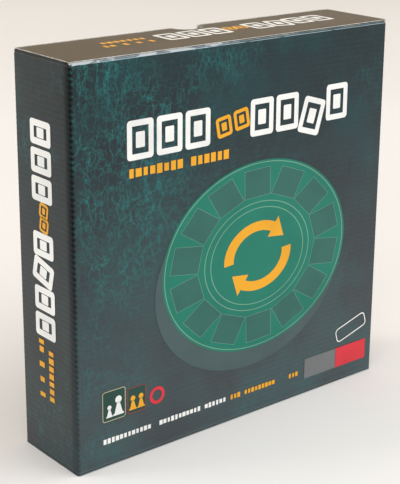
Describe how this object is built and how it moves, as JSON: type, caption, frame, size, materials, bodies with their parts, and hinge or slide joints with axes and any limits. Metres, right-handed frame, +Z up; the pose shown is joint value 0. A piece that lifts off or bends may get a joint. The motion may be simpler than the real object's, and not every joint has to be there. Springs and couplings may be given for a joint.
{
  "type": "boxed revolving word game stand",
  "caption": "Tuck-top carton standing upright that holds a revolving game stand with wells for letter tiles, on a ball bearing.",
  "frame": {"origin": "middle of the carton's footprint, on the surface that it stands on", "axes": "+X to the right across the printed front, +Y from the front to the back, +Z up"},
  "size_m": [0.27, 0.064, 0.27],
  "materials": {
    "printed_board": "gloss",
    "board_flap": "matte",
    "cradle_board": "matte",
    "leaflet_paper": "matte",
    "deck_moulding": "gloss",
    "base_moulding": "satin",
    "tile_moulding": "satin",
    "disc_card": "satin",
    "foot_rubber": "matte",
    "cage_nylon": "matte",
    "bright_steel": "bright"
  },
  "bodies": {
    "carton": {"front_panel": "printed_board", "back_panel": "printed_board", "left_panel": "printed_board", "right_panel": "printed_board", "glue_flap": "board_flap", "bottom_front_panel": "printed_board", "bottom_back_panel": "printed_board", "bottom_left_flap": "board_flap", "bottom_right_flap": "board_flap", "insert_cradle": "cradle_board", "rules_leaflet": "leaflet_paper"},
    "lid": {"lid_panel": "printed_board"},
    "tuck": {"tuck_flap": "board_flap"},
    "dust_left": {"dust_flap_left": "board_flap"},
    "dust_right": {"dust_flap_right": "board_flap"},
    "stand_foot": {"stand_base": "base_moulding", "rubber_feet": "foot_rubber", "lower_race": "bright_steel", "pivot_washer": "bright_steel", "pivot_screw": "bright_steel"},
    "ball_ring": {"ball_cage": "cage_nylon", "bearing_balls": "bright_steel"},
    "deck": {"upper_race": "bright_steel", "deck_cover": "base_moulding", "deck_shell": "deck_moulding", "cover_screws": "bright_steel", "centre_disc": "disc_card"},
    "tile_01": {"letter_tile_01": "tile_moulding"},
    "tile_02": {"letter_tile_02": "tile_moulding"},
    "tile_03": {"letter_tile_03": "tile_moulding"},
    "tile_04": {"letter_tile_04": "tile_moulding"},
    "tile_05": {"letter_tile_05": "tile_moulding"},
    "tile_06": {"letter_tile_06": "tile_moulding"},
    "tile_07": {"letter_tile_07": "tile_moulding"},
    "tile_08": {"letter_tile_08": "tile_moulding"},
    "tile_09": {"letter_tile_09": "tile_moulding"},
    "tile_10": {"letter_tile_10": "tile_moulding"}
  },
  "joints": [
    {"name": "stand_lift", "type": "slide", "parent": "carton", "child": "stand_foot", "axis": [0, 0, 1], "range_m": [0, 0.24]},
    {"name": "lid_hinge", "type": "hinge", "parent": "carton", "child": "lid", "pos_m": [0, -0.0312, 0.2692], "axis": [1, 0, 0], "range_deg": [0, 234]},
    {"name": "tuck_crease", "type": "hinge", "parent": "lid", "child": "tuck", "pos_m": [0, 0.0284, 0.2675], "axis": [-1, 0, 0], "range_deg": [0, 86.5]},
    {"name": "dust_crease_left", "type": "hinge", "parent": "carton", "child": "dust_left", "pos_m": [-0.1342, 0, 0.2675], "axis": [0, -1, 0], "range_deg": [0, 123]},
    {"name": "dust_crease_right", "type": "hinge", "parent": "carton", "child": "dust_right", "pos_m": [0.1342, 0, 0.2675], "axis": [0, 1, 0], "range_deg": [0, 123]},
    {"name": "deck_spin", "type": "hinge", "parent": "stand_foot", "child": "deck", "pos_m": [0, 0.01, 0.134], "axis": [0, -1, 0], "continuous": true},
    {"name": "ball_ring_spin", "type": "hinge", "parent": "stand_foot", "child": "ball_ring", "pos_m": [0, 0.0203, 0.134], "axis": [0, -1, 0], "continuous": true},
    {"name": "tile_pull_01", "type": "slide", "parent": "deck", "child": "tile_01", "axis": [0, -1, 0], "range_m": [0, 0.012]},
    {"name": "tile_pull_02", "type": "slide", "parent": "deck", "child": "tile_02", "axis": [0, -1, 0], "range_m": [0, 0.012]},
    {"name": "tile_pull_03", "type": "slide", "parent": "deck", "child": "tile_03", "axis": [0, -1, 0], "range_m": [0, 0.012]},
    {"name": "tile_pull_04", "type": "slide", "parent": "deck", "child": "tile_04", "axis": [0, -1, 0], "range_m": [0, 0.012]},
    {"name": "tile_pull_05", "type": "slide", "parent": "deck", "child": "tile_05", "axis": [0, -1, 0], "range_m": [0, 0.012]},
    {"name": "tile_pull_06", "type": "slide", "parent": "deck", "child": "tile_06", "axis": [0, -1, 0], "range_m": [0, 0.012]},
    {"name": "tile_pull_07", "type": "slide", "parent": "deck", "child": "tile_07", "axis": [0, -1, 0], "range_m": [0, 0.012]},
    {"name": "tile_pull_08", "type": "slide", "parent": "deck", "child": "tile_08", "axis": [0, -1, 0], "range_m": [0, 0.012]},
    {"name": "tile_pull_09", "type": "slide", "parent": "deck", "child": "tile_09", "axis": [0, -1, 0], "range_m": [0, 0.012]},
    {"name": "tile_pull_10", "type": "slide", "parent": "deck", "child": "tile_10", "axis": [0, -1, 0], "range_m": [0, 0.012]}
  ],
  "couplings": [
    {"joint": "lid_hinge", "follows": "stand_lift", "rad_per_m": 17},
    {"joint": "tuck_crease", "follows": "stand_lift", "rad_per_m": 6.25},
    {"joint": "dust_crease_left", "follows": "stand_lift", "rad_per_m": 8.9},
    {"joint": "dust_crease_right", "follows": "stand_lift", "rad_per_m": 8.9},
    {"joint": "ball_ring_spin", "follows": "deck_spin", "ratio": 0.5}
  ]
}
